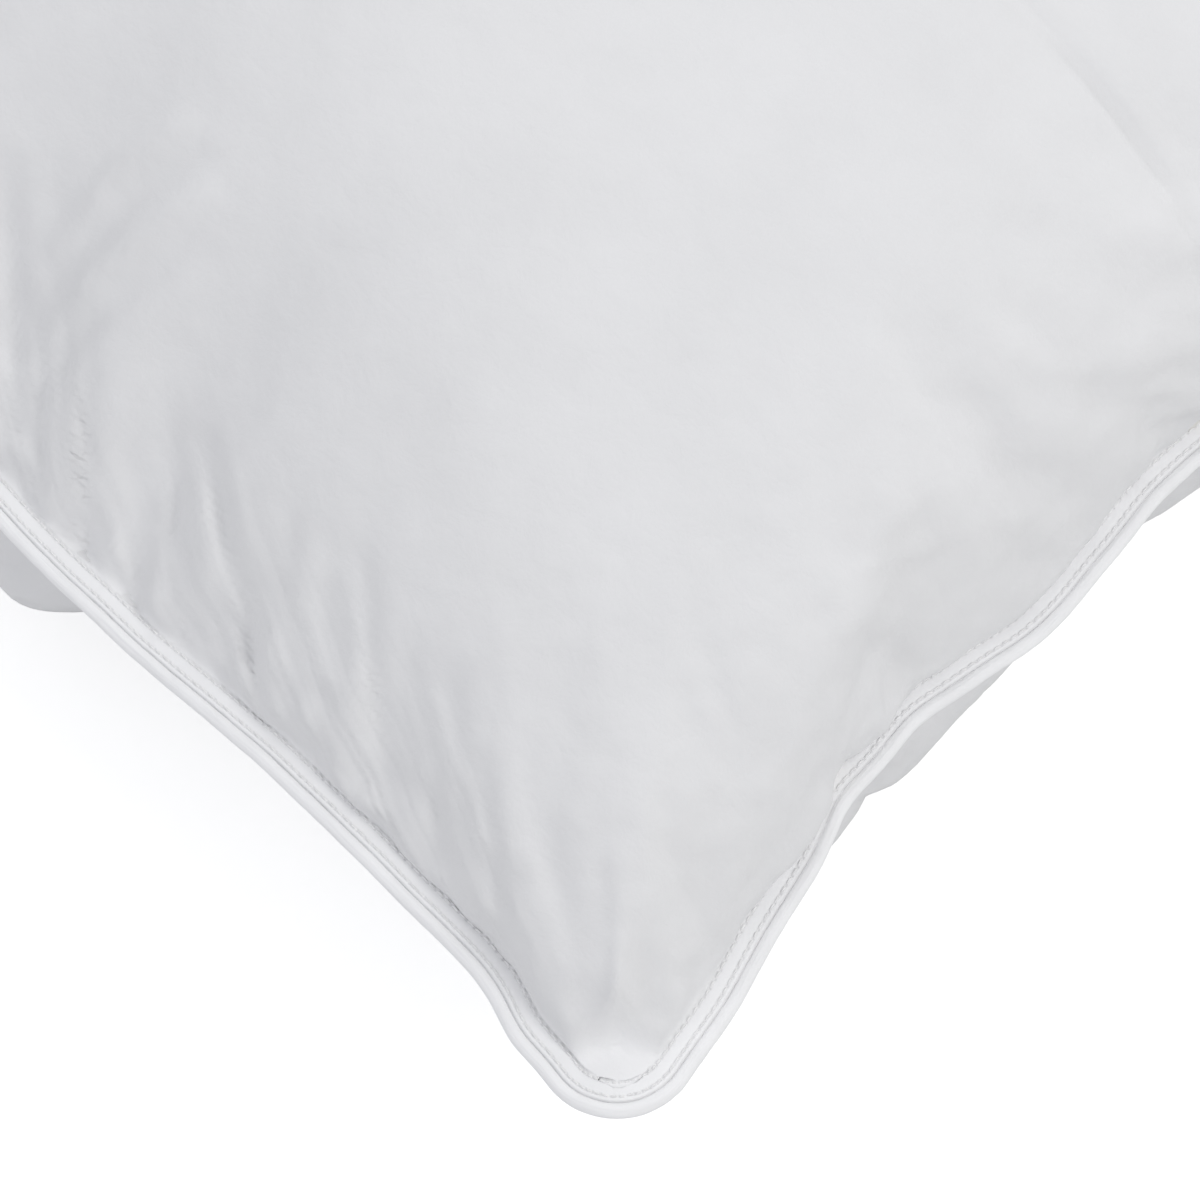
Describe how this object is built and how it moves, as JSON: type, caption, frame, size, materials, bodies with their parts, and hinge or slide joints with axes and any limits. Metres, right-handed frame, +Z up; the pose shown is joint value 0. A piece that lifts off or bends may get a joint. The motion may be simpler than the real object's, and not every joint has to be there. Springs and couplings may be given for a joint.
{
  "type": "bed pillow",
  "caption": "Plump rectangular down-filled bed pillow with drawn-in sides, rounded ear corners, a stitched flange and a corded edge.",
  "frame": {"origin": "on the floor under the middle of the pillow, which lies flat", "axes": "+X along the long side, +Y along the short side, +Z up through the crown of the top panel"},
  "size_m": [0.715, 0.4676, 0.2],
  "materials": {
    "ticking": "matte",
    "piping_cloth": "matte",
    "cotton_cord": "matte",
    "thread": "satin",
    "down": "matte",
    "label_satin": "satin"
  },
  "bodies": {
    "root": {"top_panel": "ticking", "bottom_panel": "ticking", "down_fill": "down", "piping_cover": "piping_cloth", "piping_cord": "cotton_cord", "outer_seam_needle_thread": "thread", "outer_seam_bobbin_thread": "thread", "inner_seam_needle_thread": "thread", "inner_seam_bobbin_thread": "thread", "closing_seam_needle_thread": "thread", "closing_seam_bobbin_thread": "thread", "care_label": "label_satin"}
  },
  "joints": []
}
